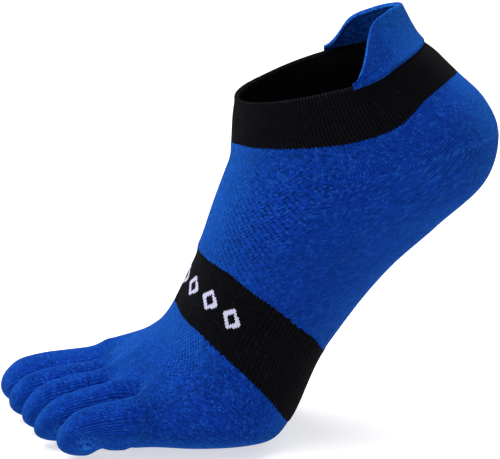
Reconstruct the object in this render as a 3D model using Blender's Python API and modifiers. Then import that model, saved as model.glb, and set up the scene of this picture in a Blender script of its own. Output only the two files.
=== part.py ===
# Low-cut sport toe sock, in the shape that it has on a raised left foot.
# Metres, +Z up. The toes point to -X, the heel to +X and the big toe lies on the +Y side.
# The origin is the centre of the ankle opening, where the ankle goes in and holds the sock.

import math
from collections import namedtuple

import bpy
from mathutils import Vector

# Driving dimensions
foot_run = 0.098        # forward from the centre of the ankle opening to the webs between the toes
heel_run = 0.0740       # back from there to the rearmost point of the heel
foot_height = 0.166     # down from there to the sole
ankle_width = 0.068     # across the sock at the ankle
ball_width = 0.094      # across the sock at the ball of the foot
knit_wall = 0.0015      # thickness of the knit
seam_gap = 0.0003       # clearance between neighbouring pieces
edge_row = 0.0015       # length of the first row of faces beside a seam
tab_height = 0.0215     # heel tab, above the rim of the cuff at its highest
tab_lean_depth = 0.0110 # how far its highest part leans forward, over the heel's tendon
tab_gather_depth = 0.0140  # how far its sides lean in towards the middle
toe_length = 0.046      # big toe pocket, from the front of the webs to its tip
toe_width = 0.0264      # big toe pocket, across its root
toe_height = 0.0300     # big toe pocket, from top to bottom at its root
nose_length = 0.0207    # part of each pocket that rounds off to its tip
toe_root_depth = 0.010  # how far a toe's hollow reaches back into the forefoot
root_taper = 0.50       # share of a toe's width and height that it loses over that depth
root_gather = 0.14      # share of its sideways place by which it moves to the middle over that depth
web_round = 0.008       # depth of the rounded front of the forefoot
web_slant = 0.015       # how far the front of the forefoot falls back at the little toe
slant_start = 0.25      # share of the half width at which it starts to fall back
web_narrowing = 0.55    # share of its height and width that the forefoot loses over its rounded front

# Fineness of the faceted walls
ring_sides = 40
toe_sides = 16
tab_columns = 30
tab_rows = 5
zone_rows = {"cuff": 4, "heel_and_instep": 12, "arch_band": 4, "forefoot": 6}
web_turns = (0.0, 25.0, 50.0, 70.0, 84.0)       # degrees round the front of the forefoot
straight_rings, nose_rings = 4, 5               # along a toe pocket

# Cross-sections from the rim to the webs. Each lies in a plane that holds the Y direction.
# top and low are its dorsal and plantar (or front and rear) ends: x as a share of foot_run forward of the
# origin or of heel_run behind it, z as a share of foot_height.
# ankle and ball are the shares of the two widths that add up to its width. The rest is its shape:
# shift and ridge, sideways places of the low and top ends as shares of the width (+ to the big toe);
# egg, how much wider it is near its low end; flat, how boxy that end is;
# taper, how much deeper its big toe side is.
Section = namedtuple("Section", "top_x top_z low_x low_z ankle ball shift ridge egg flat taper")
sections = {
    "rim":        Section(-0.417, -0.071, 0.565, 0.068, 0.95, 0.00, 0.00, 0.00, 0.08, 0.00, 0.00),
    "cuff_mid":   Section(-0.431, -0.117, 0.639, 0.038, 0.94, 0.00, 0.00, 0.00, 0.02, 0.00, 0.00),
    "cuff_low":   Section(-0.438, -0.198, 0.766, -0.014, 0.98, 0.00, 0.00, 0.00, -0.01, 0.00, 0.00),
    "heel_high":  Section(-0.444, -0.236, 0.921, -0.085, 1.00, 0.00, 0.00, 0.00, 0.00, 0.00, 0.00),
    "heel_back":  Section(-0.473, -0.287, 1.000, -0.177, 1.01, 0.00, 0.00, 0.00, -0.02, 0.00, 0.00),
    "heel_under": Section(-0.521, -0.368, 0.925, -0.297, 1.01, 0.00, 0.00, 0.00, -0.05, 0.05, 0.00),
    "sole_back":  Section(-0.571, -0.461, 0.662, -0.410, 1.02, 0.00, 0.00, 0.02, -0.02, 0.10, 0.00),
    "arch_back":  Section(-0.591, -0.496, 0.356, -0.536, 1.03, 0.00, 0.00, 0.04, 0.04, 0.15, 0.02),
    "band_back":  Section(-0.606, -0.539, -0.013, -0.760, 0.85, 0.16, 0.00, 0.06, 0.10, 0.20, 0.05),
    "band_front": Section(-0.692, -0.659, -0.163, -0.954, 0.45, 0.50, 0.00, 0.08, 0.12, 0.30, 0.10),
    "ball":       Section(-0.753, -0.727, -0.284, -0.995, 0.10, 0.88, 0.00, 0.09, 0.12, 0.45, 0.12),
    "toe_base":   Section(-0.820, -0.769, -0.639, -1.001, 0.00, 1.00, 0.00, 0.10, 0.10, 0.45, 0.10),
    "web_back":   Section(-0.912, -0.798, -0.909, -1.002, 0.00, 0.98, 0.00, 0.10, 0.04, 0.40, 0.06),
}

# Where each border between two zones lies, in rows of the table past the section of its name:
# even steps from the dorsal end (first) round either side to the plantar or rear end (last)
borders = {
    "rim":        (0.00, 0.00, 0.00, 0.00, 0.06, 0.20, -0.10, -0.28, -0.15),
    "cuff_low":   (0.02, -0.12, -0.10, 0.18, 0.48, 0.42, -0.04, -0.20, -0.14),
    "band_back":  (-0.98, -1.04, -0.92, -0.62, -0.41, -0.27, -0.16, -0.03, 0.00),
    "band_front": (0.02, -0.03, -0.15, -0.23, -0.31, -0.28, -0.18, -0.05, 0.00),
}

# Height of the heel tab above the rim, as shares of tab_height in even steps from its end on the big toe side
# to the one on the little toe side, and the angles of these two ends round the rim
tab_profile = (0.06, 0.66, 0.82, 0.84, 0.88, 0.96, 1.00, 0.86, 0.06)
tab_ends = (84.0, 257.5)

# Toe pockets. root_y and tip_y place the axis as shares of ball_width, back is how far the root lies behind
# the front of the webs and reach how far the tip lies ahead of it, as shares of toe_length.
# Widths are shares of toe_width, heights of toe_height, and root_z and tip_z shares of foot_height.
Toe = namedtuple("Toe", "root_y tip_y back reach root_width tip_width root_height tip_height root_z tip_z")
toes = {
    "big_toe":    Toe(0.335, 0.324, 0.00, 1.07, 0.985, 0.90, 0.88, 0.69, -0.924, -0.946),
    "second_toe": Toe(0.110, 0.113, 0.00, 0.97, 0.595, 0.58, 0.90, 0.67, -0.917, -0.946),
    "third_toe":  Toe(-0.062, -0.060, 0.02, 0.83, 0.595, 0.58, 0.95, 0.67, -0.911, -0.947),
    "fourth_toe": Toe(-0.233, -0.230, 0.06, 0.70, 0.590, 0.58, 0.90, 0.60, -0.911, -0.950),
    "little_toe": Toe(-0.404, -0.401, 0.30, 0.47, 0.590, 0.58, 0.87, 0.68, -0.914, -0.947),
}

# Colour, roughness and metallic value of each knit
colours = {
    "blue": (0.010, 0.060, 0.420, 1.0),
    "black": (0.004, 0.004, 0.006, 1.0),
}
knit_roughness = 0.85

# Shape of the toe pockets' rounded tips, and the places of their rings
nose_power = 2.2        # above 2 is blunter than an ellipse
nose_share = 0.62
tip_share = 0.99
core_share = 0.70         # how far a toe's hollow core is cut, as a place along the pocket

names = list(sections)
angle_step = 1e-3
row_step = 1e-3


def along(share, ahead, behind):
    return share * (behind if share > 0 else ahead)


def curve(p, q, r, u, t):
    """A smooth curve from q to r, with p before and u after them."""
    return 0.5 * (2 * q + (r - p) * t + (2 * p - 5 * q + 4 * r - u) * t * t + (3 * q - p - 3 * r + u) * t ** 3)


def through(values, place):
    """A number on a smooth curve through evenly spaced values. Place runs from 0 to 1."""
    last = len(values) - 1
    first = min(int(place * last), last - 1)
    p, q, r, u = (values[last - abs(last - abs(first + k))] for k in (-1, 0, 1, 2))
    return curve(p, q, r, u, place * last - first)


def placed(row):
    """A section's row in metres: top, low, half width, then its shape values."""
    s = sections[names[row]]
    width = s.ankle * ankle_width + s.ball * ball_width
    return (
        along(s.top_x, foot_run, heel_run), s.top_z * foot_height,
        along(s.low_x, foot_run, heel_run), s.low_z * foot_height,
        width / 2, s.shift * width, s.ridge * width, s.egg, s.flat, s.taper,
    )


def blended(row):
    """The section at a whole or broken row number, on a smooth curve through the table's rows."""
    last = len(names) - 1
    first = min(max(int(math.floor(row)), 0), last - 1)
    t = row - first
    a, b, c, d = (placed(min(max(first + k, 0), last)) for k in (-1, 0, 1, 2))
    return [curve(p, q, r, u, t) for p, q, r, u in zip(a, b, c, d)]


def outer_point(row, angle, scale=1.0, ahead=0.0):
    """A point of the outer face. Angle 0 is the dorsal end, a right angle the big toe side."""
    top_x, top_z, low_x, low_z, half, shift, ridge, egg, flat, taper = blended(row)
    top, low = Vector((top_x, 0, top_z)), Vector((low_x, 0, low_z))
    middle, up = (top + low) / 2, (top - low) / 2
    forward = Vector((up.z, 0, -up.x)).normalized() * -1
    rise, side = math.cos(angle), math.sin(angle)
    power = 1 - flat * (1 - rise) / 2
    rise = math.copysign(abs(rise) ** power, rise)
    side = math.copysign(abs(side) ** power, side)
    across = half * side * (1 - egg * rise) * scale
    deep = rise * (1 + taper * side) * scale
    sideways = shift + (ridge - shift) * (1 + rise) / 2
    return middle + up * deep + Vector((0, across + sideways, 0)) + forward * ahead


def outward(row, angle):
    """Unit normal of the outer face."""
    along_row = outer_point(row + row_step, angle) - outer_point(row - row_step, angle)
    around = outer_point(row, angle + angle_step) - outer_point(row, angle - angle_step)
    return around.cross(along_row).normalized()


def ring_angles(count):
    return [2 * math.pi * k / count for k in range(count)]


def border_row(name, angle):
    """The row number of a border at an angle."""
    from_dorsal = abs((angle + math.pi) % (2 * math.pi) - math.pi) / math.pi
    return names.index(name) + through(borders[name], from_dorsal)


def border_rows(name):
    return [border_row(name, angle) for angle in ring_angles(ring_sides)]


def main_ring(rows, beside=0.0, grow=0.0):
    """One ring of the outer face, moved along it by beside and outward by grow."""
    ring = []
    for row, angle in zip(rows, ring_angles(ring_sides)):
        step = outer_point(row + row_step, angle) - outer_point(row - row_step, angle)
        ring.append(outer_point(row, angle) + step.normalized() * beside + outward(row, angle) * grow)
    return ring


def between(rows_a, rows_b, share):
    return [a + (b - a) * share for a, b in zip(rows_a, rows_b)]


def loft(name, rings, close_first=False, close_last=False, closed=True):
    """Joins rings of equal length by quads, with a flat face over an end that is closed."""
    count = len(rings[0])
    points = [p for ring in rings for p in ring]
    faces = []
    for r in range(len(rings) - 1):
        for k in range(count if closed else count - 1):
            n = (k + 1) % count
            faces.append((r * count + k, r * count + n, (r + 1) * count + n, (r + 1) * count + k))
    if close_first:
        faces.append(tuple(reversed(range(count))))
    if close_last:
        faces.append(tuple(range(len(points) - count, len(points))))
    mesh = bpy.data.meshes.new(name)
    mesh.from_pydata(points, [], faces)
    mesh.validate()
    mesh.shade_smooth()
    return bpy.data.objects.new(name, mesh)


def collection(name):
    made = bpy.data.collections.new(name)
    bpy.context.scene.collection.children.link(made)
    return made


def knit(name):
    material = bpy.data.materials.new(name + "_knit")
    material.use_nodes = True
    shader = material.node_tree.nodes["Principled BSDF"]
    shader.inputs["Base Color"].default_value = colours[name]
    shader.inputs["Roughness"].default_value = knit_roughness
    shader.inputs["Metallic"].default_value = 0.0
    return material


def thicken(piece):
    """Gives an open surface the knit's thickness, on its inner side."""
    wall = piece.modifiers.new("wall", "SOLIDIFY")
    wall.thickness = knit_wall
    wall.offset = -1
    wall.use_even_offset = True
    wall.use_rim = True


def cut(piece, cutter):
    hole = piece.modifiers.new("cut_by_" + cutter.name, "BOOLEAN")
    hole.operation = "DIFFERENCE"
    hole.solver = "EXACT"
    hole.object = cutter


def finish_piece(piece, material, into):
    piece.data.materials.append(material)
    into.objects.link(piece)
    return piece


def finish_cutter(cutter, into):
    into.objects.link(cutter)
    cutter.hide_render = True
    cutter.display_type = "WIRE"
    return cutter


def zone_rings(first, last, count):
    """Rings between two borders, with a short row of faces beside each seam."""
    a, b = border_rows(first), border_rows(last)
    rings = [main_ring(a, seam_gap / 2), main_ring(a, seam_gap / 2 + edge_row)]
    rings += [main_ring(between(a, b, k / count)) for k in range(1, count)]
    return rings + [main_ring(b, -seam_gap / 2 - edge_row), main_ring(b, -seam_gap / 2)]


def build_zone(name, first, last, material, into):
    piece = loft(name, zone_rings(first, last, zone_rows[name]))
    thicken(piece)
    return finish_piece(piece, material, into)


def fall_back(y):
    """How far the front of the forefoot falls back at a sideways place, most at the little toe."""
    outside = max(0.0, -y / (ball_width / 2) - slant_start) / (1 - slant_start)
    return web_slant * outside * outside


def web_rings(grow=0.0):
    """The rounded front of the forefoot, from its last section on."""
    rings = []
    row = len(names) - 1
    for turn in web_turns:
        t = math.radians(turn)
        scale = 1 - web_narrowing * (1 - math.cos(t))
        ring = []
        for angle in ring_angles(ring_sides):
            point = outer_point(row, angle, scale, (web_round + grow) * math.sin(t))
            if grow:
                point += outward(row, angle) * grow * math.cos(t)
            point.x += fall_back(point.y)
            ring.append(point)
        rings.append(ring)
    return rings


def slanted(ring, rows):
    """Moves a ring between the ball and the webs back at the little toe side, more the nearer the webs."""
    start = names.index("ball")
    moved = []
    for point, row in zip(ring, rows):
        share = max(0.0, (row - start) / (len(names) - 1 - start)) ** 2
        moved.append(point + Vector((fall_back(point.y) * share, 0, 0)))
    return moved


def forefoot_rings(grow=0.0):
    """Rings from the arch band to the webs. Grown ones make the envelope that the toe pockets start at."""
    first, last, count = border_rows("band_front"), [len(names) - 1] * ring_sides, zone_rows["forefoot"]
    rings = []
    if grow == 0.0:
        rings = [main_ring(first, seam_gap / 2), main_ring(first, seam_gap / 2 + edge_row)]
    for k in range(1, count):
        rows = between(first, last, k / count)
        rings.append(slanted(main_ring(rows, 0.0, grow), rows))
    return rings + web_rings(grow)


def toe_ring(toe, place, inset=0.0):
    """One ring of a toe pocket. Place runs from below 0, inside the forefoot, over 0 at its root to 1."""
    root_x = -foot_run + toe.back * toe_length
    tip_x = -foot_run - toe.reach * toe_length
    t = max(place, 0.0)
    nose = nose_length / (root_x - tip_x)
    into_nose = max(0.0, (t - 1 + nose) / nose)
    full = math.sqrt(max(0.0, 1 - into_nose ** nose_power))
    y = (toe.root_y + (toe.tip_y - toe.root_y) * t) * ball_width
    z = (toe.root_z + (toe.tip_z - toe.root_z) * t * t) * foot_height
    width = (toe.root_width + (toe.tip_width - toe.root_width) * t) * toe_width
    height = (toe.root_height + (toe.tip_height - toe.root_height) * t) * toe_height
    x = root_x + (tip_x - root_x) * place
    behind = max(0.0, -place) * (root_x - tip_x) / toe_root_depth
    full *= 1 - root_taper * behind
    y *= 1 - root_gather * behind
    ring = []
    for angle in ring_angles(toe_sides):
        across = (width / 2 * full - inset) * math.sin(angle)
        up = (height / 2 * full - inset) * math.cos(angle)
        ring.append(Vector((x, y + across, z + up)))
    return ring


def toe_places(toe, first):
    """Places of the rings, closer together at the rounded tip."""
    straight = [first + (nose_share - first) * k / straight_rings for k in range(straight_rings + 1)]
    turns = [math.pi / 2 * k / nose_rings for k in range(1, nose_rings + 1)]
    return straight + [nose_share + (tip_share - nose_share) * math.sin(turn) for turn in turns]


def build_toe(name, toe, envelope, material, pieces, cutters):
    """A toe pocket that starts at the forefoot's front, and the hollow that opens the forefoot to it."""
    span = (toe.back + toe.reach) * toe_length
    start = -toe_root_depth / span
    pocket = loft(name + "_pocket", [toe_ring(toe, p) for p in toe_places(toe, start)], close_last=True)
    thicken(pocket)
    cut(pocket, envelope)
    finish_piece(pocket, material, pieces)
    inner = [toe_ring(toe, p, knit_wall) for p in toe_places(toe, start) if p < core_share]
    core = loft(name + "_hollow", inner, close_first=True, close_last=True)
    return finish_cutter(core, cutters)


def tab_top(angle, share):
    """A point of the tab's upper edge."""
    height = tab_height * share
    inward = Vector((max(0.0, -math.cos(angle)) * tab_lean_depth, math.sin(angle) * tab_gather_depth, 0))
    return outer_point(names.index("rim"), angle) + Vector((0, 0, height)) - inward * share


def build_tab(material, into):
    """The heel tab: a strip on the rear of the cuff, that leans in over the heel's tendon."""
    first, last = (math.radians(end) for end in tab_ends)
    rings = [[] for _ in range(tab_rows + 1)]
    for k in range(tab_columns + 1):
        place = k / tab_columns
        angle = first + (last - first) * place
        row = border_row("rim", angle)
        foot = outer_point(row, angle)
        down = (outer_point(row + row_step, angle) - foot).normalized()
        foot -= down * seam_gap / 2
        rise = tab_top(angle, through(tab_profile, place)) - foot
        for r in range(tab_rows + 1):
            rings[r].append(foot + rise * r / tab_rows)
    piece = loft("heel_tab", rings, closed=False)
    thicken(piece)
    return finish_piece(piece, material, into)


def build():
    for old in list(bpy.data.objects):
        bpy.data.objects.remove(old)
    pieces, cutters = collection("toe_sock"), collection("cutters")
    blue, black = knit("blue"), knit("black")
    build_tab(blue, pieces)
    build_zone("cuff", "rim", "cuff_low", black, pieces)
    build_zone("heel_and_instep", "cuff_low", "band_back", blue, pieces)
    build_zone("arch_band", "band_back", "band_front", black, pieces)
    envelope = loft("forefoot_envelope", forefoot_rings(seam_gap), close_first=True, close_last=True)
    finish_cutter(envelope, cutters)
    forefoot = loft("forefoot", forefoot_rings(), close_last=True)
    thicken(forefoot)
    finish_piece(forefoot, blue, pieces)
    for name, toe in toes.items():
        cut(forefoot, build_toe(name, toe, envelope, blue, pieces, cutters))


build()
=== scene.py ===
import math

import bpy
import numpy as np
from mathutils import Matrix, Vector


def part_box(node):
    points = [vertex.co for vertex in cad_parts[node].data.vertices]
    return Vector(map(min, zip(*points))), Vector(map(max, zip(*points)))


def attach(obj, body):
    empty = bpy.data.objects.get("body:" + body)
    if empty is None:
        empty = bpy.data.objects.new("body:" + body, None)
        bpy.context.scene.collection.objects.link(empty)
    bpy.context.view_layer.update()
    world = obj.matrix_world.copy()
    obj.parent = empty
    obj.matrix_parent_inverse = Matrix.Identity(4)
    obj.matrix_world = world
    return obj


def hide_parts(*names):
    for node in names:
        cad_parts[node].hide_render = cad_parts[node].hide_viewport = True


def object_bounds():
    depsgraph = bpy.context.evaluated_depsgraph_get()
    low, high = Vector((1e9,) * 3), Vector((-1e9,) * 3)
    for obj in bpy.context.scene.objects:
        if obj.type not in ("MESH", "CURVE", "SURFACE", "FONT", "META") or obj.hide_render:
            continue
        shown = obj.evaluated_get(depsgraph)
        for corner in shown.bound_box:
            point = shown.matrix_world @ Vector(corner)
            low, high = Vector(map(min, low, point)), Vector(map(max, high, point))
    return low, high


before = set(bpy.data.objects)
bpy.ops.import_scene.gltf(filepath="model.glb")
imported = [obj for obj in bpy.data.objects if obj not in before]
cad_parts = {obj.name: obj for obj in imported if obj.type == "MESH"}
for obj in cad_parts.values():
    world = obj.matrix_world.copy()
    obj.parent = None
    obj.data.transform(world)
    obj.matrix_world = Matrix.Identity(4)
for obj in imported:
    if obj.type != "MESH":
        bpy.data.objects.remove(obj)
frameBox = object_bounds()
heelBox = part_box("heel_and_instep")

sockShape = {
    "footRun": 0.098,                       # opening's centre to the webs between the toes
    "heelRun": heelBox[1][0],               # opening's centre to the back of the heel
    "footHeight": 0.166,                    # opening's centre to the sole
    "ankleWidth": 0.068,
    "ballWidth": 0.094,
}

# Cross-sections from the rim to the webs: top x z and low x z as shares of the runs and the height,
# shares of the ankle and ball widths, then low shift, top ridge, egg, flat and taper
sockSections = [
    ("rim",       -0.417, -0.071, 0.565, 0.068, 0.95, 0.00, 0.00, 0.00, 0.08, 0.00, 0.00),
    ("cuffMid",   -0.431, -0.117, 0.639, 0.038, 0.94, 0.00, 0.00, 0.00, 0.02, 0.00, 0.00),
    ("cuffLow",   -0.438, -0.198, 0.766, -0.014, 0.98, 0.00, 0.00, 0.00, -0.01, 0.00, 0.00),
    ("heelHigh",  -0.444, -0.236, 0.921, -0.085, 1.00, 0.00, 0.00, 0.00, 0.00, 0.00, 0.00),
    ("heelBack",  -0.473, -0.287, 1.000, -0.177, 1.01, 0.00, 0.00, 0.00, -0.02, 0.00, 0.00),
    ("heelUnder", -0.521, -0.368, 0.925, -0.297, 1.01, 0.00, 0.00, 0.00, -0.05, 0.05, 0.00),
    ("soleBack",  -0.571, -0.461, 0.662, -0.410, 1.02, 0.00, 0.00, 0.02, -0.02, 0.10, 0.00),
    ("archBack",  -0.591, -0.496, 0.356, -0.536, 1.03, 0.00, 0.00, 0.04, 0.04, 0.15, 0.02),
    ("bandBack",  -0.606, -0.539, -0.013, -0.760, 0.85, 0.16, 0.00, 0.06, 0.10, 0.20, 0.05),
    ("bandFront", -0.692, -0.659, -0.163, -0.954, 0.45, 0.50, 0.00, 0.08, 0.12, 0.30, 0.10),
    ("ball",      -0.753, -0.727, -0.284, -0.995, 0.10, 0.88, 0.00, 0.09, 0.12, 0.45, 0.12),
    ("toeBase",   -0.820, -0.769, -0.639, -1.001, 0.00, 1.00, 0.00, 0.10, 0.10, 0.45, 0.10),
    ("webBack",   -0.912, -0.798, -0.909, -1.002, 0.00, 0.98, 0.00, 0.10, 0.04, 0.40, 0.06),
]
# Borders of the zones, in rows past the section of that name, from the top of the foot
# round to the sole or heel
zoneBorders = {
    "rim": (0.00, 0.00, 0.00, 0.00, 0.06, 0.20, -0.25, -0.36, -0.33),
    "cuffLow": (-0.06, -0.14, -0.05, 0.23, 0.50, 0.40, -0.10, -0.24, -0.14),
    "bandBack": (-0.94, -0.95, -0.80, -0.55, -0.41, -0.27, -0.16, -0.03, 0.00),
    "bandFront": (-0.02, -0.08, -0.20, -0.27, -0.32, -0.28, -0.18, -0.05, 0.00),
}
sectionNames = [row[0] for row in sockSections]


def sectionTable():
    rows = []
    height = sockShape["footHeight"]
    for name, topX, topZ, lowX, lowZ, ankle, ball, shift, ridge, egg, flat, taper in sockSections:
        width = ankle * sockShape["ankleWidth"] + ball * sockShape["ballWidth"]
        ends = [x * (sockShape["heelRun"] if x > 0 else sockShape["footRun"]) for x in (topX, lowX)]
        rows.append((ends[0], topZ * height, ends[1], lowZ * height, width / 2,
                     shift * width, ridge * width, egg, flat, taper))
    return np.array(rows)


sections = sectionTable()


def smoothCurve(p, q, r, s, t):
    # From q at t 0 to r at t 1, leaning on the neighbours p and s
    square = (2 * p - 5 * q + 4 * r - s) * t ** 2
    cube = (3 * q - p - 3 * r + s) * t ** 3
    return 0.5 * (2 * q + (r - p) * t + square + cube)


def sectionAt(rows):
    # Rows before the first section go straight on, because a border may lie past the rim
    last = len(sections) - 1
    first = np.clip(np.floor(rows).astype(int), 0, last - 1)
    t = (rows - first)[..., None]
    inside = smoothCurve(sections[np.clip(first - 1, 0, last)], sections[first], sections[first + 1],
                         sections[np.clip(first + 2, 0, last)], t)
    return np.where(t < 0, sections[first] + (sections[first + 1] - sections[first]) * t, inside)


def surfaceAt(rows, angles):
    # A point of the outer face. Angle 0 is the top of the foot, a right angle its big toe side
    topX, topZ, lowX, lowZ, half, shift, ridge, egg, flat, taper = np.moveaxis(sectionAt(rows), -1, 0)
    rise = np.cos(angles)
    side = np.sin(angles)
    power = 1 - flat * (1 - rise) / 2
    rise = np.sign(rise) * np.abs(rise) ** power
    side = np.sign(side) * np.abs(side) ** power
    deep = rise * (1 + taper * side)
    x = (topX + lowX) / 2 + (topX - lowX) / 2 * deep
    z = (topZ + lowZ) / 2 + (topZ - lowZ) / 2 * deep
    y = half * side * (1 - egg * rise) + shift + (ridge - shift) * (1 + rise) / 2
    return np.stack([x, y, z], -1)


def unit(v):
    return v / np.maximum(np.linalg.norm(v, axis=-1, keepdims=True), 1e-12)


def normalAt(rows, angles):
    step = 1e-3
    forward = surfaceAt(rows + step, angles) - surfaceAt(rows - step, angles)
    around = surfaceAt(rows, angles + step) - surfaceAt(rows, angles - step)
    return unit(np.cross(around, forward)), unit(forward)


def through(values, places):
    # A smooth curve through evenly spaced values, mirrored at both ends
    values = np.asarray(values, float)
    last = len(values) - 1
    first = np.clip(np.floor(places * last).astype(int), 0, last - 1)
    picked = [values[last - np.abs(last - np.abs(first + k))] for k in (-1, 0, 1, 2)]
    return smoothCurve(*picked, places * last - first)


def turnFromTop(angles):
    return np.abs((angles + math.pi) % (2 * math.pi) - math.pi)


def borderRows(name, angles):
    return sectionNames.index(name) + through(zoneBorders[name], turnFromTop(angles) / math.pi)


def ease(value, low, high):
    t = np.clip((value - low) / (high - low), 0, 1)
    return t * t * (3 - 2 * t)


def addMesh(name, points, faces, cornerUv):
    mesh = bpy.data.meshes.new(name)
    mesh.from_pydata([tuple(p) for p in points], [], [tuple(int(i) for i in f) for f in faces])
    layer = mesh.uv_layers.new(name="knit")
    layer.uv.foreach_set("vector", np.asarray(cornerUv, np.float32).ravel())
    mesh.validate()
    mesh.shade_smooth()
    piece = bpy.data.objects.new(name, mesh)
    bpy.context.scene.collection.objects.link(piece)
    return piece


def addWeights(piece, name, values):
    layer = piece.data.attributes.new(name, "FLOAT", "POINT")
    layer.data.foreach_set("value", np.asarray(values, np.float32).ravel())


def dress(piece, material, slot, *nodes):
    piece.data.materials.append(material)
    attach(piece, "root")
    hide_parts(*nodes)


def lengthsAlong(rings):
    steps = np.linalg.norm(np.diff(rings, axis=0), axis=-1)
    return np.concatenate([np.zeros((1, rings.shape[1])), np.cumsum(steps, axis=0)])


def wavy(u, v, seed, amount, size):
    # Slow unevenness of a worn surface, from a few fixed waves
    random = np.random.default_rng(seed)
    total = np.zeros_like(u)
    for _ in range(7):
        a, b, c = random.uniform(-1, 1), random.uniform(-1, 1), random.uniform(0, 2 * math.pi)
        total += np.sin((a * u + b * v) * 2 * math.pi / size + c)
    return amount * total / 3


def teethOf(angles, wales, height, seed):
    # The stepped edge where one yarn ends and the next begins, stitch by stitch
    wale = angles * wales / (2 * math.pi)
    saw = np.abs((wale % 1.0) - 0.5) * 4 - 1
    jump = np.random.default_rng(seed).uniform(-0.5, 0.5, wales + 1)[np.floor(wale).astype(int) % wales]
    return height * (1.1 + saw + jump)


edgeTurns = (30.0, 70.0, 110.0, 150.0)      # degrees round the edge of the cloth


def overEdges(face):
    # Values of the outer face, carried on round the lower edge, the inner face and the upper edge
    low = np.repeat(face[-1:], len(edgeTurns), 0)
    top = np.repeat(face[:1], len(edgeTurns), 0)
    return np.concatenate([face, low, face[::-1], top])


def shellPiece(name, first, last, values, relief, slant=None):
    # A knitted tube between two borders with rounded edges: outer face, lower edge, inner face, upper edge
    around = values["around"]
    angles = np.arange(around) * 2 * math.pi / around
    start = borderRows(first, angles)
    end = borderRows(last, angles)
    wall = values["wall"]
    shares = np.linspace(0, 1, values["rows"])[:, None]
    rows = start + (end - start) * shares
    grid = np.broadcast_to(angles, rows.shape)
    outer = surfaceAt(rows, grid)
    normal, forward = normalAt(rows, grid)
    lengths = lengthsAlong(outer)
    outer = outer + normal * relief(rows, grid, lengths)[..., None]
    top = teethOf(angles, values["wales"], values.get("topTeeth", 0.0), 11) * values.get("topWeight", 1.0)
    low = teethOf(angles, values["wales"], values.get("lowTeeth", 0.0), 12)
    outer[0] += forward[0] * (values.get("topDrop", 0.0) - top)[:, None]
    outer[-1] += forward[-1] * low[:, None]
    inner = (outer - normal * wall)[::-1]
    turns = np.radians(np.array(edgeTurns))[:, None, None]
    lowRound = values["lowEdge"]
    topRound = (values["topEdge"] * np.ones(around))[:, None]
    lowEdge = outer[-1] - normal[-1] * wall / 2 * (1 - np.cos(turns)) + forward[-1] * lowRound * np.sin(turns)
    topEdge = inner[-1] + normal[0] * wall / 2 * (1 - np.cos(turns)) - forward[0] * topRound * np.sin(turns)
    rings = np.concatenate([outer, lowEdge, inner, topEdge])
    along = overEdges(lengths)
    shift = np.zeros_like(along)
    if slant is not None:
        shift = overEdges(slant(rows, grid, lengths))
    faces = []
    uv = []
    total = len(rings)
    for r in range(total):
        n = (r + 1) % total
        for k in range(around):
            m = (k + 1) % around
            faces.append((r * around + k, r * around + m, n * around + m, n * around + k))
            for ring, place, step in ((r, k, 0), (r, m, 1), (n, m, 1), (n, k, 0)):
                uv.append((values["wales"] * (k + step) / around + shift[ring][place], along[ring][place]))
    piece = addMesh(name, rings.reshape(-1, 3), faces, uv)

    def weigh(attribute, face):
        addWeights(piece, attribute, overEdges(face))
    return piece, grid, rows, lengths, weigh


# Knit materials
blueKnit = {
    "lit": (0.0036, 0.0450, 0.3900),
    # dark end of the tone: darker yarn, and painted shade between the stitches and in the furrows
    "darkToneAndShade": (0.0003, 0.0045, 0.0700),
    # light yarn flecks and loose stitches, also painted highlights on rib crests and painted light on the
    # heel tab
    "fleckAndHighlight": (0.0240, 0.1700, 0.7000),
    "roughness": 0.85,
    "specular": 0.02,
    "sheen": 0.58,
    "sheenTint": (0.035, 0.30, 1.0),
    "coursePitch": 0.00095,
    "stitchHeight": 0.00034,
    "meshHeight": 0.00060,
    # strength of the painted shade in the furrows between wales
    "furrow": 0.95,
    # painted highlight on the crests of the ribs
    "ridge": 0.0,
    "speckle": 0.14,
    "brightness": 0.42,
}
blackKnit = {
    "lit": (0.0030, 0.0032, 0.0046),
    # dark end of the tone: darker yarn, and painted shade between the stitches and in the furrows
    "darkToneAndShade": (0.0004, 0.0004, 0.0007),
    # light yarn flecks and loose stitches, also painted highlights on rib crests and painted light on the
    # heel tab
    "fleckAndHighlight": (0.0150, 0.0152, 0.0185),
    "roughness": 0.9,
    "specular": 0.02,
    "sheen": 0.011,
    "sheenTint": (0.9, 0.95, 1.0),
    "coursePitch": 0.00095,
    "stitchHeight": 0.00025,
    "meshHeight": 0.0,
    # strength of the painted shade in the furrows between wales
    "furrow": 0.9,
    # painted highlight on the crests of the ribs
    "ridge": 0.28,
    "speckle": 0.05,
    "brightness": 0.35,
}


# Values that both knits share
knitLook = {
    "lean": 1.3,                    # how far the legs of a stitch slope
    "legPower": 0.6,
    "loopPower": 0.7,
    "wander": 0.6,                  # unevenness of the furrows
    "wanderScale": 240.0,
    "furrowPower": 1.2,
    "furrowDepth": 0.00045,
    "stretchFlat": 0.6,             # share of a stitch's height that stretched cloth loses
    "stretchLit": 0.7,              # and of its shade
    "meshTurn": 0.72,               # half turns of the mesh in each course
    "meshPower": 1.4,
    "meshLit": 0.95,
    "meshPlain": 0.65,              # share of the plain stitches' shade that the mesh hides
    "stitchTone": 0.85,
    "patchTone": 0.25,
    "patchScale": 55.0,
    "fibreTone": 0.35,
    "fibreScale": 900.0,
    "diceTone": 0.54,               # unevenness from stitch to stitch
    "diceStretch": 0.20,            # and how much of it stretched cloth loses
    "toneRange": (0.50, 1.28),
    "closingScale": 620.0,
    "closingRange": (0.44, 0.56),
    "closingTone": 0.85,
    "closingHeight": 0.0004,
    "bump": 0.9,
    "sheenRoughness": 0.4,
}


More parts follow.
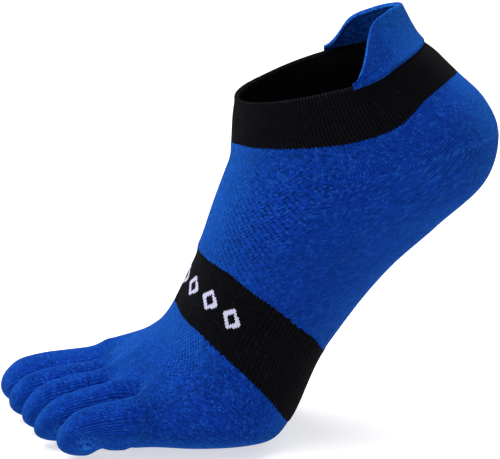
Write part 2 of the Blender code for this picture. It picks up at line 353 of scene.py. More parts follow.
class Nodes:
    # Short hand for wiring a material
    def __init__(self, name):
        self.material = bpy.data.materials.new(name)
        self.material.use_nodes = True
        self.tree = self.material.node_tree
        self.shader = self.tree.nodes["Principled BSDF"]

    def add(self, kind, **values):
        node = self.tree.nodes.new(kind)
        for key, value in values.items():
            setattr(node, key, value)
        return node

    def put(self, target, value):
        if isinstance(value, bpy.types.NodeSocket):
            self.tree.links.new(value, target)
        elif isinstance(value, tuple) and len(value) == 3 and target.type == "RGBA":
            target.default_value = (*value, 1.0)
        else:
            target.default_value = value

    def math(self, operation, a, b=0.0, c=0.0):
        node = self.add("ShaderNodeMath", operation=operation)
        for socket, value in zip(node.inputs, (a, b, c)):
            self.put(socket, value)
        return node.outputs[0]

    def mix(self, factor, a, b):
        node = self.add("ShaderNodeMix", data_type="RGBA")
        self.put(node.inputs["Factor"], factor)
        colours = [s for s in node.inputs if s.type == "RGBA"]
        for socket, value in zip(colours, (a, b)):
            self.put(socket, value)
        return [s for s in node.outputs if s.type == "RGBA"][0]

    def noise(self, vector, scale, detail=2.0):
        node = self.add("ShaderNodeTexNoise")
        self.put(node.inputs["Vector"], vector)
        node.inputs["Scale"].default_value = scale
        node.inputs["Detail"].default_value = detail
        return node.outputs["Fac"]

    def spread(self, value, low, high):
        node = self.add("ShaderNodeMapRange", interpolation_type="SMOOTHSTEP")
        self.put(node.inputs["Value"], value)
        node.inputs["From Min"].default_value = low
        node.inputs["From Max"].default_value = high
        return node.outputs["Result"]

    def wave(self, angle):
        # A cosine that runs from 0 to 1
        return self.math("MULTIPLY_ADD", self.math("COSINE", angle), 0.5, 0.5)

    def weight(self, name):
        return self.add("ShaderNodeAttribute", attribute_name=name).outputs["Fac"]

    def eachStitch(self, wale, course, seed):
        # One random number for each stitch
        cell = self.add("ShaderNodeCombineXYZ")
        self.put(cell.inputs["X"], self.math("FLOOR", wale))
        self.put(cell.inputs["Y"], self.math("FLOOR", course))
        cell.inputs["Z"].default_value = seed
        dice = self.add("ShaderNodeTexWhiteNoise", noise_dimensions="3D")
        self.put(dice.inputs["Vector"], cell.outputs[0])
        return dice.outputs["Value"]


def knitMaterial(name, values, motif=None):
    n = Nodes(name)
    look = knitLook
    uv = n.add("ShaderNodeUVMap", uv_map="knit")
    split = n.add("ShaderNodeSeparateXYZ")
    n.put(split.inputs[0], uv.outputs["UV"])
    wale = split.outputs["X"]
    course = n.math("DIVIDE", split.outputs["Y"], values["coursePitch"])
    place = n.add("ShaderNodeTexCoord").outputs["Object"]
    # Each stitch is a V of two legs that lean together down the middle of its wale
    across = n.math("ABSOLUTE", n.math("SUBTRACT", n.math("FRACT", wale), 0.5))
    legs = n.wave(n.math("MULTIPLY_ADD", across, 4 * math.pi, -math.pi))
    lean = n.math("MULTIPLY_ADD", across, look["lean"], course)
    loop = n.math("ABSOLUTE", n.math("SINE", n.math("MULTIPLY", lean, math.pi)))
    legs = n.math("POWER", legs, look["legPower"])
    stitch = n.math("MULTIPLY", legs, n.math("POWER", loop, look["loopPower"]))
    height = n.math("MULTIPLY", stitch, values["stitchHeight"])
    # The stitch's shape is used as painted shade: dark between its legs and loops
    shade = stitch
    # Stretched cloth shows its wales as ridges with furrows between them, darkened with painted shade
    ribs = n.weight("ribs")
    line = n.wave(n.math("MULTIPLY", wale, 2 * math.pi))
    wander = n.math("MULTIPLY_ADD", n.noise(place, look["wanderScale"]), look["wander"], look["wander"])
    furrow = n.math("MULTIPLY", n.math("POWER", line, look["furrowPower"]), ribs)
    furrow = n.math("MULTIPLY", furrow, wander)
    height = n.math("MULTIPLY", height, n.math("MULTIPLY_ADD", ribs, -look["stretchFlat"], 1.0))
    height = n.math("MULTIPLY_ADD", furrow, -look["furrowDepth"], height)
    unlit = n.math("MULTIPLY", n.math("SUBTRACT", 1.0, shade), look["stretchLit"])
    shade = n.math("MULTIPLY_ADD", ribs, unlit, shade)
    if values["meshHeight"] > 0:
        # Tuck stitches on every other wale, each row set off by one, pull small dimples, with painted shade
        # in them
        zone = n.weight("meshZone")
        waleWave = n.math("COSINE", n.math("MULTIPLY", wale, math.pi))
        courseWave = n.math("COSINE", n.math("MULTIPLY", course, math.pi * look["meshTurn"]))
        dimple = n.math("MULTIPLY_ADD", n.math("MULTIPLY", waleWave, courseWave), 0.5, 0.5)
        dimple = n.math("POWER", dimple, look["meshPower"])
        pulled = n.math("MULTIPLY", dimple, zone)
        height = n.math("MULTIPLY_ADD", pulled, values["meshHeight"], height)
        plain = n.math("MULTIPLY", shade, n.math("MULTIPLY_ADD", zone, -look["meshPlain"], 1.0))
        shade = n.math("MULTIPLY_ADD", pulled, look["meshLit"], plain)
    dice = n.eachStitch(wale, course, 3.0)
    fibre = n.noise(place, look["fibreScale"], 3.0)
    patch = n.noise(place, look["patchScale"])
    # Tone: painted shade from the stitches and dimples, plus random patches, fibres and unevenness from
    # stitch to stitch
    tone = n.math("MULTIPLY", shade, look["stitchTone"])
    tone = n.math("MULTIPLY_ADD", patch, look["patchTone"], tone)
    tone = n.math("MULTIPLY_ADD", fibre, look["fibreTone"], tone)
    uneven = n.math("MULTIPLY_ADD", ribs, -look["diceStretch"], look["diceTone"])
    tone = n.math("MULTIPLY_ADD", dice, uneven, tone)
    tone = n.spread(tone, *look["toneRange"])
    colour = n.mix(tone, values["darkToneAndShade"], values["lit"])
    # Painted shade in the furrows between wales
    colour = n.mix(n.math("MULTIPLY", furrow, values["furrow"]), colour, values["darkToneAndShade"])
    # Painted highlight on the crests of the ribs
    if values["ridge"] > 0:
        crestHighlight = n.math("MULTIPLY", n.math("SUBTRACT", 1.0, line), n.math("MULTIPLY", ribs, values["ridge"]))
        colour = n.mix(crestHighlight, colour, values["fleckAndHighlight"])
    # Single stitches that catch the light, and the loose closing stitches at the toes. The same weight paints
    # light on the far part of the heel tab
    chosen = n.math("GREATER_THAN", n.eachStitch(wale, course, 8.0), 1 - values["speckle"])
    bright = n.math("MULTIPLY", chosen, stitch)
    colour = n.mix(n.math("MULTIPLY", bright, values["brightness"]), colour, values["fleckAndHighlight"])
    loose = n.spread(n.noise(place, look["closingScale"]), *look["closingRange"])
    closing = n.math("MULTIPLY", n.weight("closing"), loose)
    colour = n.mix(n.math("MULTIPLY", closing, look["closingTone"]), colour, values["fleckAndHighlight"])
    height = n.math("MULTIPLY_ADD", closing, look["closingHeight"], height)
    if motif:
        colour = motif(n, wale, course, colour)
    n.put(n.shader.inputs["Base Color"], colour)
    bump = n.add("ShaderNodeBump")
    bump.inputs["Strength"].default_value = look["bump"]
    bump.inputs["Distance"].default_value = 1.0
    n.put(bump.inputs["Height"], height)
    n.put(n.shader.inputs["Normal"], bump.outputs["Normal"])
    n.shader.inputs["Roughness"].default_value = values["roughness"]
    n.shader.inputs["Sheen Weight"].default_value = values["sheen"]
    n.shader.inputs["Sheen Roughness"].default_value = look["sheenRoughness"]
    n.shader.inputs["Sheen Tint"].default_value = (*values["sheenTint"], 1.0)
    n.shader.inputs["Specular IOR Level"].default_value = values["specular"]
    return n.material


# White lozenges knitted into the band
bandMotif = {
    "colour": (0.50, 0.50, 0.66),
    "centreAngle": -20.0,           # degrees from the top of the foot
    "pitchWales": 8.0,
    "number": 5,
    "halfWales": 3.1,
    "halfCourses": 5.2,
    "course": 16.0,
}


def drawMotif(values, wales):
    def paint(n, wale, course, colour):
        middle = values["centreAngle"] / 360 * wales
        stitches = n.math("MULTIPLY_ADD", n.math("FLOOR", n.math("MULTIPLY", wale, 2.0)), 0.5, 0.25)
        shifted = n.math("SUBTRACT", stitches, middle)
        wrapped = n.math("WRAP", shifted, wales / 2, -wales / 2)
        cell = n.math("WRAP", wrapped, values["pitchWales"] / 2, -values["pitchWales"] / 2)
        reach = n.math("DIVIDE", n.math("ABSOLUTE", cell), values["halfWales"])
        rise = n.math("SUBTRACT", n.math("ADD", n.math("FLOOR", course), 0.5), values["course"])
        rise = n.math("DIVIDE", n.math("ABSOLUTE", rise), values["halfCourses"])
        distance = n.math("ADD", reach, rise)
        inside = n.math("LESS_THAN", distance, 1.0)
        hollow = n.math("GREATER_THAN", distance, 0.54)
        row = n.math("LESS_THAN", n.math("ABSOLUTE", wrapped), values["pitchWales"] * values["number"] / 2)
        mask = n.math("MULTIPLY", n.math("MULTIPLY", inside, hollow), row)
        return n.mix(mask, colour, values["colour"])
    return paint


tabEnds = (86.5, 257.5)     # degrees round the rim from the top of the foot, where the tab starts and ends

# Cuff: black one by one rib, with a rolled rim where there is no tab
cuffValues = {"around": 760, "rows": 26, "wales": 190, "wall": 0.0021, "rimRoll": 0.0010, "lowEdge": 0.0002,
              "ribHeight": 0.00008, "lowTeeth": 0.00026, "topTeeth": 0.00024, "proud": 0.00012,
              "radius": 0.032, "unevenness": 0.00022, "bulge": 0.0007, "rimDrop": 0.0007,
              "plainRim": 0.002, "rollLength": 0.0012}


def makeCuff(material):
    around = cuffValues["around"]
    degrees = np.degrees(np.arange(around) * 2 * math.pi / around)
    start, end = tabEnds
    inTab = ease(degrees, start - 2, start + 4) * (1 - ease(degrees, end - 4, end + 2))
    values = dict(cuffValues, topEdge=cuffValues["rimRoll"] * (1 - inTab) + 0.0001, topWeight=inTab,
                  topDrop=cuffValues["rimDrop"] * (1 - inTab))

    def relief(rows, angles, lengths):
        turn = turnFromTop(angles)
        ribs = np.cos(angles * cuffValues["wales"])
        slow = wavy(angles * cuffValues["radius"], lengths, 4, cuffValues["unevenness"], 0.030)
        # A little fuller over the heel, and at the front of the rim
        slow = slow + cuffValues["bulge"] * np.exp(-((rows - 0.9) / 0.6) ** 2) * ease(turn, 2.3, 2.9)
        slow = slow + cuffValues["bulge"] * np.exp(-(rows / 0.35) ** 2) * (1 - ease(turn, 0.4, 0.9))
        fade = np.clip(lengths / cuffValues["plainRim"], 0, 1)
        return cuffValues["ribHeight"] * ribs * fade + slow + cuffValues["proud"]
    piece, _, _, lengths, weigh = shellPiece("cuff_rib", "rim", "cuffLow", values, relief)
    roll = np.clip(1 - lengths / cuffValues["rollLength"], 0, 1) * (1 - inTab)
    # Furrows with painted shade and crests with painted highlights, strongest at the rolled rim
    weigh("ribs", 0.55 + 0.45 * roll)
    weigh("closing", 0 * lengths)
    dress(piece, material, "black_rib", "cuff")
    print("cuff made")


# Heel, instep and rear sole
bodyValues = {"around": 280, "rows": 112, "wales": 220, "wall": 0.0015, "topEdge": 0.0002, "lowEdge": 0.0002,
              "meshSpread": 1.35, "goreRow": 3.85, "goreSlant": 520.0, "goreReach": 0.020,
              "goreDepth": 0.00025, "radius": 0.034, "unevenness": 0.00022}


def meshZoneOf(angles, spread):
    # The top of the foot is knitted as a mesh, between smooth sides
    return np.clip((spread - turnFromTop(angles)) / 0.25, 0, 1)


def makeBody(material):
    def relief(rows, angles, lengths):
        rear = ease(turnFromTop(angles), 1.75, 2.1)
        gore = np.exp(-((rows - bodyValues["goreRow"]) / 0.035) ** 2) * rear
        slow = wavy(angles * bodyValues["radius"], lengths, 7, bodyValues["unevenness"], 0.045)
        return slow - bodyValues["goreDepth"] * gore

    def slant(rows, angles, lengths):
        # The wales of the heel meet in arrowheads along the gore line
        goreAlong = np.array([np.interp(bodyValues["goreRow"], rows[:, k], lengths[:, k])
                              for k in range(rows.shape[1])])
        away = np.abs(lengths - goreAlong)
        reach = bodyValues["goreReach"]
        away = reach * np.tanh(away / reach)
        rear = ease(turnFromTop(angles), 1.2, 2.0)
        return -bodyValues["goreSlant"] * np.sin(angles - math.pi) * away * rear
    piece, angles, rows, lengths, weigh = shellPiece("heel_and_instep_knit", "cuffLow", "bandBack",
                                                     bodyValues, relief, slant)
    turn = turnFromTop(angles)
    belowCuff = 0.15 + 0.85 * ease(lengths, 0.008, 0.036)       # the mesh starts faintly under the cuff
    weigh("meshZone", meshZoneOf(angles, bodyValues["meshSpread"]) * belowCuff)
    # Furrows with painted shade, strongest on the sides, weaker on the top and the sole
    weigh("ribs", 0.15 + 0.45 * ease(turn, 1.1, 1.6) * (1 - 0.7 * ease(turn, 2.3, 2.9)))
    gore = np.exp(-((rows - bodyValues["goreRow"]) / 0.06) ** 2) * ease(turn, 1.75, 2.1)
    weigh("closing", 0.4 * gore)
    dress(piece, material, "blue_knit", "heel_and_instep")
    print("heel and instep made")


# Arch band: black elastic rib
bandValues = {"around": 600, "rows": 30, "wales": 120, "wall": 0.0018, "topEdge": 0.0002, "lowEdge": 0.0002,
              "ribHeight": 0.00013, "lowTeeth": 0.00032, "topTeeth": 0.00032, "proud": 0.00012,
              "radius": 0.034, "unevenness": 0.0002}


def makeBand(material):
    def relief(rows, angles, lengths):
        ribs = np.cos(angles * bandValues["wales"] / 2)
        low = 0.5 - 0.5 * np.cos(angles)
        slow = wavy(angles * bandValues["radius"], lengths, 3, bandValues["unevenness"], 0.03)
        return bandValues["ribHeight"] * ribs * (0.15 + 0.85 * low) + slow + bandValues["proud"]
    piece, angles, _, lengths, weigh = shellPiece("arch_band_rib", "bandBack", "bandFront",
                                                  bandValues, relief)
    # Furrows with painted shade and crests with painted highlights, stronger towards the sole
    weigh("ribs", 0.25 + 0.35 * ease(turnFromTop(angles), 1.3, 2.4))
    weigh("closing", 0 * lengths)
    dress(piece, material, "black_rib", "arch_band")
    print("arch band made")


# Forefoot with its five toe pockets
forefootValues = {
    "topAngles": (-74, -66, -56, -47, -39, -33, -27, -21, -15, -9, -3.5,
                  2, 8, 14, 20, 26, 33, 42, 52, 63, 74),
    "sideAngles": (85, 96),
    "ringShares": (0.0, 0.10, 0.22, 0.35, 0.48, 0.60, 0.70, 0.79, 0.87, 0.935, 1.0),
    "blendFrom": 0.58,                # where the foot starts to take the width and height of the toes
    "grooveFrom": 0.84,               # where the grooves between the toes start
    "wall": 0.0013,
    "wales": 220,
    "toeWales": 10,                   # down the side of a toe
    "noseLength": 0.0190,
    "nosePower": 2.8,
    "noseDrop": 0.0008,               # how far a tip hangs
    "dropFrom": 0.6,                  # share of a toe's length where that starts
    "rootRise": 0.0046,               # how far the top of the big toe rises into the foot
    "lesserRise": 0.45,               # share of it at the other toes
    # ribSlope also sets where the painted shade in the furrows fades
    "ribSlope": 2.2,                  # how soon the furrows fade from a toe's side to its top
    "grooveTurn": 0.72,               # share of the turn that the sides of a toe keep in a groove
    "webBow": 0.0015,                 # how far the web ring bows forward over each toe
    "webSkin": 0.0002,                # how deep the smooth web ring may dip between two toes
    "seamBack": 0.0135,               # closing stitches, behind each tip
    "seamTurn": -112.0,               # degrees round the toe
    "seamReach": 0.0036,
    "noseDroop": 38.0,                # degrees by which the wales turn down round a tip
    "straightShares": (0.12, 0.27, 0.44, 0.62, 0.80, 0.97),
    "noseTurns": (78.0, 64.0, 50.0, 36.0, 22.0, 10.0),
    "webPlaces": (-0.0835, -0.0960, -0.0985, -0.0985),   # little to fourth toe, then on to the big toe
    "creases": ((-0.1000, 0.0029, 0.0040), (-0.0930, 0.0018, 0.0040), (-0.0858, 0.0036, 0.0040)),
}
toeTable = {  # root y, tip y, back, reach, root and tip width, root and tip height, root and tip z, as shares
    "little": (-0.404, -0.401, 0.30, 0.47, 0.590, 0.58, 0.87, 0.68, -0.914, -0.947),
    "fourth": (-0.233, -0.230, 0.06, 0.70, 0.590, 0.58, 0.90, 0.60, -0.911, -0.950),
    "third":  (-0.062, -0.060, 0.02, 0.83, 0.595, 0.58, 0.95, 0.67, -0.911, -0.947),
    "second": (0.110, 0.113, 0.00, 0.97, 0.595, 0.58, 0.90, 0.67, -0.917, -0.946),
    "big":    (0.335, 0.324, 0.00, 1.07, 0.985, 0.90, 0.88, 0.69, -0.924, -0.946),
}
toeUnits = {"length": 0.046, "width": 0.0264, "height": 0.0300}      # what the toes' shares are shares of
toeAngles = np.radians([-60, -30, 0, 30, 60, 80, 100, 120, 150, 180, 210, 240, 260, 280])


def toeSizes(shares):
    rootY, tipY, back, reach, rootW, tipW, rootH, tipH, rootZ, tipZ = shares
    wide = sockShape["ballWidth"]
    tall = sockShape["footHeight"]
    webs = -sockShape["footRun"]
    return {"rootX": webs + back * toeUnits["length"], "tipX": webs - reach * toeUnits["length"],
            "rootY": rootY * wide, "tipY": tipY * wide,
            "rootZ": rootZ * tall, "tipZ": tipZ * tall,
            "rootW": rootW * toeUnits["width"], "tipW": tipW * toeUnits["width"],
            "rootH": rootH * toeUnits["height"], "tipH": tipH * toeUnits["height"]}


def toePlace(toe, t, across, up):
    # across and up run from -1 to 1 over the pocket's section at share t of its length
    x = toe["rootX"] + (toe["tipX"] - toe["rootX"]) * t
    s = max(t, 0.0)
    width = toe["rootW"] + (toe["tipW"] - toe["rootW"]) * s
    y = toe["rootY"] + (toe["tipY"] - toe["rootY"]) * s + width / 2 * across
    z = toe["rootZ"] + (toe["tipZ"] - toe["rootZ"]) * s * s
    z += (toe["rootH"] + (toe["tipH"] - toe["rootH"]) * s) / 2 * up
    dropFrom = forefootValues["dropFrom"]
    into = max(0.0, (t - dropFrom) / (1 - dropFrom))
    z -= forefootValues["noseDrop"] * into * into
    # The big toe is the only root past 0.02 and the little toe the only one before -0.03
    rise = forefootValues["rootRise"] * (1.0 if toe["rootY"] > 0.02 else forefootValues["lesserRise"])
    z += rise * math.exp(-((x - toe["rootX"] - 0.003) / 0.0075) ** 2) * max(0.0, up)
    if toe["rootY"] < -0.03 and up < 0:
        for place, depth, spread in forefootValues["creases"]:
            z += depth * math.exp(-((x - place) / spread) ** 2) * min(1.0, -up * 1.5)
    return np.array([x, y, z])


def toeSpot(toe, x, angle):
    t = (x - toe["rootX"]) / (toe["tipX"] - toe["rootX"])
    nose = forefootValues["noseLength"] / (toe["rootX"] - toe["tipX"])
    into = min(max((t - 1 + nose) / nose, 0.0), 1.0)
    full = math.sqrt(1 - into ** forefootValues["nosePower"])
    return toePlace(toe, t, full * math.sin(angle), full * math.cos(angle))


def noseSpot(toe, turn, angle):
    # The rings of the rounded tip tilt, so that the wales run down over it
    polar = math.radians(turn)
    ahead, across, up = math.cos(polar), math.sin(polar) * math.sin(angle), math.sin(polar) * math.cos(angle)
    tilt = math.radians(forefootValues["noseDroop"]) * (1 - turn / 90) ** 0.8
    ahead, up = ahead * math.cos(tilt) + up * math.sin(tilt), up * math.cos(tilt) - ahead * math.sin(tilt)
    nose = forefootValues["noseLength"] / (toe["rootX"] - toe["tipX"])
    t = 1 - nose + nose * math.copysign(abs(ahead) ** (2 / forefootValues["nosePower"]), ahead)
    return toePlace(toe, t, across, up)


def webRing(toes, count):
    # The ring where the foot parts into its toes, sharp with grooves and smooth without them
    web = np.zeros((count, 3))
    places = forefootValues["webPlaces"]
    for i, toe in enumerate(toes):
        left = places[i - 1] if i > 0 else toe["rootX"]
        right = places[i] if i < 4 else toe["rootX"]
        for k in range(5):
            x = left + (right - left) * k / 4 - forefootValues["webBow"] * math.sin(math.pi * k / 4)
            shared = (k == 0 and i > 0) or (k == 4 and i < 4)
            share = 0.5 if shared else 1.0
            angle = toeAngles[k] * (forefootValues["grooveTurn"] if shared else 1.0)
            web[4 * i + k] += toeSpot(toe, x, angle) * share
            web[23 + 4 * (4 - i) + 4 - k] += toeSpot(toe, x, math.pi - angle) * share
    for k, turn in enumerate((80, 100)):
        web[21 + k] = toeSpot(toes[4], toes[4]["rootX"], math.radians(turn))
        web[count - 1 - k] = toeSpot(toes[0], toes[0]["rootX"], -math.radians(turn))
    smooth = web.copy()
    tops = web[[4 * i + 2 for i in range(5)]]
    lows = web[[23 + 4 * (4 - i) + 2 for i in range(5)]]
    skin = forefootValues["webSkin"]
    for j in range(3, 19):
        smooth[j, 2] = max(web[j, 2], np.interp(web[j, 1], tops[:, 1], tops[:, 2]) - skin)
    for j in range(26, 42):
        smooth[j, 2] = min(web[j, 2], np.interp(web[j, 1], lows[:, 1], lows[:, 2]) + skin)
    return web, smooth


def fitCage(piece, targets):
    # Moves the cage until the smoothed surface passes through the targets
    cage = targets.copy()
    for _ in range(8):
        piece.data.vertices.foreach_set("co", cage.astype(np.float32).ravel())
        piece.data.update()
        shown = piece.evaluated_get(bpy.context.evaluated_depsgraph_get())
        mesh = shown.to_mesh()
        reached = np.empty(len(mesh.vertices) * 3, np.float32)
        mesh.vertices.foreach_get("co", reached)
        shown.to_mesh_clear()
        cage += (targets - reached.reshape(-1, 3)[:len(targets)]) * 0.85
    piece.data.vertices.foreach_set("co", cage.astype(np.float32).ravel())
    piece.data.update()


def makeForefoot(material):
    toes = [toeSizes(shares) for shares in toeTable.values()]
    top = np.radians(forefootValues["topAngles"])
    side = np.radians(forefootValues["sideAngles"])
    angles = np.concatenate([top, side, math.pi - top[::-1], 2 * math.pi - side[::-1]])
    count = len(angles)
    web, webSmooth = webRing(toes, count)
    start = borderRows("bandFront", angles)
    last = len(sections) - 1.0
    endRing = surfaceAt(np.full(count, last), angles)
    shares = forefootValues["ringShares"]
    rings = []
    for share in shares:
        ring = surfaceAt(start + (last - start) * share, angles)
        wide = ease(share, forefootValues["blendFrom"], 1.0)
        sharp = ease(share, forefootValues["grooveFrom"], 1.0)
        rings.append(ring + (webSmooth - endRing) * wide + (web - webSmooth) * sharp)
    main = np.array(rings)
    points = [p for ring in rings for p in ring]
    ribs = []
    mesh = []
    turn = turnFromTop(angles)
    # Furrows with painted shade, on the sides of the foot more than on its top and sole
    sideRibs = 0.35 * ease(turn, 1.1, 1.6) * (1 - 0.6 * ease(turn, 2.2, 2.8))
    for share in shares:
        ribs += list(0.12 + sideRibs * (1 - 0.3 * share))
        mesh += list(meshZoneOf(angles, 1.15) * float(1 - ease(share, 0.42, 0.62)))
    faces = []
    uv = []
    lengths = lengthsAlong(main)
    girth = np.linalg.norm(np.roll(main[3], -1, axis=0) - main[3], axis=-1)
    wales = np.concatenate([[0], np.cumsum(girth)]) / girth.sum() * forefootValues["wales"]
    total = len(shares) - 1
    for r in range(total):
        for k in range(count):
            m = (k + 1) % count
            faces.append((r * count + k, r * count + m, (r + 1) * count + m, (r + 1) * count + k))
            uv += [(wales[k], lengths[r][k]), (wales[k + 1], lengths[r][m]),
                   (wales[k + 1], lengths[r + 1][m]), (wales[k], lengths[r + 1][k])]
    base = total * count
    # Web columns between neighbouring toes
    webColumns = []
    for i in range(4):
        upper = web[4 * (i + 1)]
        lower = web[23 + 4 * (4 - i)]
        column = []
        for share in (0.34, 0.66):
            p = upper * (1 - share) + lower * share
            column.append(len(points))
            points.append(np.array([forefootValues["webPlaces"][i] - 0.0001, p[1], p[2]]))
            ribs.append(0.6)
            mesh.append(0.0)
        webColumns.append(column)
    closing = [0.0] * len(points)
    sides = len(toeAngles)
    slope = np.abs(np.sin(toeAngles)) ** forefootValues["ribSlope"]
    for i, toe in enumerate(toes):
        topIds = [base + 4 * i + k for k in range(5)]
        lowIds = [base + 23 + 4 * (4 - i) + k for k in range(5)]
        medial = webColumns[i] if i < 4 else [base + 21, base + 22]
        lateral = webColumns[i - 1][::-1] if i > 0 else [base + count - 2, base + count - 1]
        before = topIds + medial + lowIds + lateral
        topWales = [wales[4 * i + k] for k in range(5)]
        lowWales = [wales[23 + 4 * (4 - i) + k] for k in range(5)]
        sideWales = forefootValues["toeWales"]
        loop = topWales + [topWales[-1] + sideWales / 3, topWales[-1] + sideWales * 2 / 3]
        loop += [topWales[-1] + sideWales + w - lowWales[0] for w in lowWales]
        loop += [loop[-1] + sideWales / 3, loop[-1] + sideWales * 2 / 3, loop[-1] + sideWales]
        along = np.array([float(lengths[-1][j - base]) if j - base < count else float(lengths[-1][4 * i + 2])
                          for j in before])
        beforePoints = np.array([points[j] for j in before])
        startX = beforePoints[:, 0].copy()
        noseX = toe["tipX"] + forefootValues["noseLength"]
        seamAngle = math.radians(forefootValues["seamTurn"])
        seam = toeSpot(toe, toe["tipX"] + forefootValues["seamBack"], seamAngle)
        spots = []
        for share in forefootValues["straightShares"]:
            ringX = startX + (noseX - startX) * share
            spots.append([toeSpot(toe, x, angle) for x, angle in zip(ringX, toeAngles)])
        for ahead in forefootValues["noseTurns"]:
            spots.append([noseSpot(toe, ahead, angle) for angle in toeAngles])
        for ring, spot in enumerate(spots):
            now = list(range(len(points), len(points) + sides))
            nowPoints = np.array(spot)
            points += spot
            # The furrows of the little toe grow from its root
            grown = min(1.0, 0.25 + 0.25 * ring) if i == 0 else 1.0
            # Furrows with painted shade on the sides of each toe, less on its top and underside
            ribs += list(0.15 + 0.95 * grown * slope * (1 - 0.55 * (np.cos(toeAngles) < -0.6)))
            mesh += [0.0] * sides
            away = np.linalg.norm(nowPoints - seam, axis=-1)
            closing += list(np.exp(-(away / forefootValues["seamReach"]) ** 2))
            nowAlong = along + np.linalg.norm(nowPoints - beforePoints, axis=-1)
            for k in range(sides):
                m = (k + 1) % sides
                faces.append((before[k], before[m], now[m], now[k]))
                uv += [(loop[k], along[k]), (loop[k + 1], along[m]),
                       (loop[k + 1], nowAlong[m]), (loop[k], nowAlong[k])]
            before, beforePoints, along = now, nowPoints, nowAlong
        faces.append(tuple(before))
        uv += [(loop[k], along[k]) for k in range(sides)]
    piece = addMesh("forefoot_and_toes_knit", points, faces, uv)
    addWeights(piece, "meshZone", mesh)
    addWeights(piece, "ribs", ribs)
    addWeights(piece, "closing", closing)
    smooth = piece.modifiers.new("smooth", "SUBSURF")
    smooth.levels = smooth.render_levels = 1
    fitCage(piece, np.array(points))
    smooth.levels = smooth.render_levels = 2
    thick = piece.modifiers.new("knit", "SOLIDIFY")
    thick.thickness = forefootValues["wall"]
    thick.offset = -1
    dress(piece, material, "blue_knit", "forefoot", "big_toe_pocket", "second_toe_pocket", "third_toe_pocket",
          "fourth_toe_pocket", "little_toe_pocket")
    print("forefoot and toes made")


# Heel tab with its hem
tabValues = {"height": 0.0200, "lean": 0.0130, "gather": 0.0140, "wall": 0.0013, "around": 240, "rows": 26,
             "wales": 128, "slant": 420.0, "hem": 0.00062, "hemDrop": 0.0006,
             "flare": 0.72,          # below 1 the tab leans in first and rises later
             "sink": 0.0005,         # how deep its foot sits in the cuff
             "farSteep": 0.030, "farShare": 0.3, "bulge": 0.0002,
             "profile": (0.10, 0.66, 0.79, 0.84, 0.88, 0.96, 1.00, 0.88, 0.06)}


def makeTab(material):
    count = tabValues["around"]
    share = np.linspace(0, 1, count)
    angles = np.radians(tabEnds[0] + (tabEnds[1] - tabEnds[0]) * share)
    foot = surfaceAt(borderRows("rim", angles), angles)
    # The far end rises early
    steep = tabValues["farSteep"] * np.sin(math.pi * np.minimum(share / tabValues["farShare"], 1))
    rise = through(tabValues["profile"], share + steep)
    lean = np.stack([np.maximum(0, -np.cos(angles)) * tabValues["lean"],
                     np.sin(angles) * tabValues["gather"], np.zeros(count)], -1)
    top = surfaceAt(np.zeros(count), angles) - lean * rise[:, None]
    top[:, 2] += tabValues["height"] * rise
    climb = np.linspace(0, 1, tabValues["rows"])[:, None, None]
    flare = climb ** tabValues["flare"]
    rings = foot + (top - foot) * np.concatenate([flare, flare, climb], -1)
    rings[0, :, 2] -= tabValues["sink"]
    bulge = np.sin(np.linspace(0, math.pi, tabValues["rows"]))[:, None] * tabValues["bulge"] * rise
    middle = np.array([0.02, 0.0, 0.0])
    outward = unit((rings - middle) * np.array([1.0, 1.0, 0.0]))
    rings = rings + outward * bulge[..., None]
    lengths = lengthsAlong(rings)
    slant = tabValues["slant"] * ease(share, 0.50, 0.80)
    faces = []
    uv = []
    for r in range(len(rings) - 1):
        for k in range(count - 1):
            faces.append((r * count + k, (r + 1) * count + k, (r + 1) * count + k + 1, r * count + k + 1))
            for ring, place in ((r, k), (r + 1, k), (r + 1, k + 1), (r, k + 1)):
                along = lengths[ring][place]
                uv.append((tabValues["wales"] * place / count + slant[place] * along, along))
    piece = addMesh("heel_tab_knit", rings.reshape(-1, 3), faces, uv)
    addWeights(piece, "meshZone", np.zeros(rings.shape[:2]))
    # Painted light on the far part of the tab, whose inner face lies in shade: fewer furrows with painted
    # shade, and lighter stitches from the closing weight
    addWeights(piece, "ribs", np.broadcast_to(0.20 + 0.10 * ease(share, 0.45, 0.7), rings.shape[:2]))
    addWeights(piece, "closing", np.broadcast_to(0.50 * (1 - ease(share, 0.40, 0.52)), rings.shape[:2]))
    thick = piece.modifiers.new("knit", "SOLIDIFY")
    thick.thickness = tabValues["wall"]
    thick.offset = 1
    dress(piece, material, "blue_knit", "heel_tab")
    drop = np.array([0.0, 0.0, tabValues["hemDrop"]])
    makeHem(material, (rings[-1] - outward[-1] * tabValues["wall"] / 2 - drop)[3:-2])
    print("heel tab made")


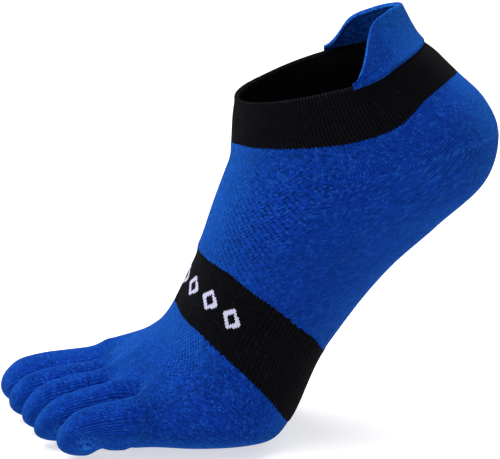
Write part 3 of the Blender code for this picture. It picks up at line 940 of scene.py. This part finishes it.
def makeHem(material, path):
    # The turned edge that runs along the top of the tab, as a soft round roll
    sides = 12
    along = unit(np.gradient(path, axis=0))
    out = unit(np.cross(along, np.array([0.0, 0.0, 1.0])))
    up = np.cross(out, along)
    count = len(path)
    reach = np.minimum(1, np.minimum(np.arange(count), np.arange(count)[::-1]) / 8 + 0.3)
    turn = np.arange(sides) * 2 * math.pi / sides
    radius = tabValues["hem"] * reach[:, None, None]
    circle = out[:, None] * np.cos(turn)[:, None] + up[:, None] * np.sin(turn)[:, None]
    rings = path[:, None] + radius * circle
    steps = np.concatenate([[0], np.cumsum(np.linalg.norm(np.diff(path, axis=0), axis=-1))])
    wale = 0.001
    lap = 0.00045
    faces = []
    uv = []
    for r in range(count - 1):
        for k in range(sides):
            m = (k + 1) % sides
            faces.append((r * sides + k, r * sides + m, (r + 1) * sides + m, (r + 1) * sides + k))
            uv += [(steps[r] / wale, k * lap), (steps[r] / wale, (k + 1) * lap),
                   (steps[r + 1] / wale, (k + 1) * lap), (steps[r + 1] / wale, k * lap)]
    faces.append(tuple(range(sides))[::-1])
    uv += [(0.0, k * lap) for k in range(sides)][::-1]
    faces.append(tuple(range((count - 1) * sides, count * sides)))
    uv += [(steps[-1] / wale, k * lap) for k in range(sides)]
    piece = addMesh("heel_tab_hem", rings.reshape(-1, 3), faces, uv)
    for name, value in (("meshZone", 0.0), ("ribs", 0.8), ("closing", 0.5)):
        addWeights(piece, name, np.full(count * sides, value))
    dress(piece, material, "blue_knit", "heel_tab")


# Studio
studio = {
    "floorDrop": 0.0006,
    "floorColour": (0.50, 0.50, 0.50),
    "worldColour": (1.0, 1.0, 1.0),
    "worldStrength": 0.20,
    "floorGlow": 0.62,
    "topPower": 55.0,
    "frontPower": 7.5,
    "rearPower": 8.0,
    "aim": (-0.03, 0.0, -0.08),       # what the lamps point at, near the sock's middle
}


def softbox(name, place, size, power):
    light = bpy.data.lights.new(name, "AREA")
    light.shape = "DISK"
    light.size = size
    light.energy = power
    lamp = bpy.data.objects.new(name, light)
    lamp.location = place
    lamp.rotation_euler = (Vector(studio["aim"]) - Vector(place)).to_track_quat("-Z", "Y").to_euler()
    bpy.context.scene.collection.objects.link(lamp)


def makeStudio():
    floorZ = frameBox[0][2] - studio["floorDrop"]
    bpy.ops.mesh.primitive_plane_add(size=12.0, location=(0, 0, floorZ))
    floor = bpy.context.object
    floor.name = "floor"
    n = Nodes("pale_floor")
    n.shader.inputs["Base Color"].default_value = (*studio["floorColour"], 1)
    n.shader.inputs["Roughness"].default_value = 0.9
    n.shader.inputs["Emission Color"].default_value = (1, 1, 1, 1)
    n.shader.inputs["Emission Strength"].default_value = studio["floorGlow"]
    floor.data.materials.append(n.material)
    world = bpy.data.worlds.new("studio")
    bpy.context.scene.world = world
    world.use_nodes = True
    world.node_tree.nodes["Background"].inputs["Color"].default_value = (*studio["worldColour"], 1)
    world.node_tree.nodes["Background"].inputs["Strength"].default_value = studio["worldStrength"]
    softbox("top_light", (-0.45, 0.15, 1.35), 2.0, studio["topPower"])
    softbox("front_light", (-0.5, -1.5, 1.2), 1.4, studio["frontPower"])
    softbox("rear_light", (1.0, 0.9, 0.5), 1.2, studio["rearPower"])
    bpy.context.scene.view_settings.view_transform = "Standard"
    print("studio made")


cameraValues = {
    "elevation": 19.0,      # degrees above the sock
    "lens": 350.0,          # millimetres
    "sensor": 36.0,
    "pixelsPerMetre": 2300.0,
    "originPixel": (330.0, 70.0),
    "imageSize": (500, 459),
}


def makeCamera():
    width, height = cameraValues["imageSize"]
    lens = cameraValues["lens"]
    scale = cameraValues["pixelsPerMetre"]
    distance = width * lens / cameraValues["sensor"] / scale
    tilt = math.radians(cameraValues["elevation"])
    view = Vector((0, math.cos(tilt), -math.sin(tilt)))
    up = Vector((0, math.sin(tilt), math.cos(tilt)))
    right = Vector((1, 0, 0))
    across = (cameraValues["originPixel"][0] - width / 2) / scale
    rise = (height / 2 - cameraValues["originPixel"][1]) / scale
    target = -right * across - up * rise
    data = bpy.data.cameras.new("camera")
    data.lens = lens
    data.sensor_width = cameraValues["sensor"]
    data.sensor_fit = "HORIZONTAL"
    data.clip_end = 50.0
    camera = bpy.data.objects.new("camera", data)
    camera.location = target - view * distance
    camera.rotation_euler = (math.radians(90) - tilt, 0, 0)
    bpy.context.scene.collection.objects.link(camera)
    bpy.context.scene.camera = camera
    print("camera set")


makeCamera()
makeStudio()
blueCloth = knitMaterial("blue_knit_cloth", blueKnit)
blackCloth = knitMaterial("black_rib_cloth", blackKnit)
bandCloth = knitMaterial("arch_band_cloth", blackKnit, motif=drawMotif(bandMotif, bandValues["wales"]))
makeTab(blueCloth)
makeCuff(blackCloth)
makeBody(blueCloth)
makeBand(bandCloth)
makeForefoot(blueCloth)
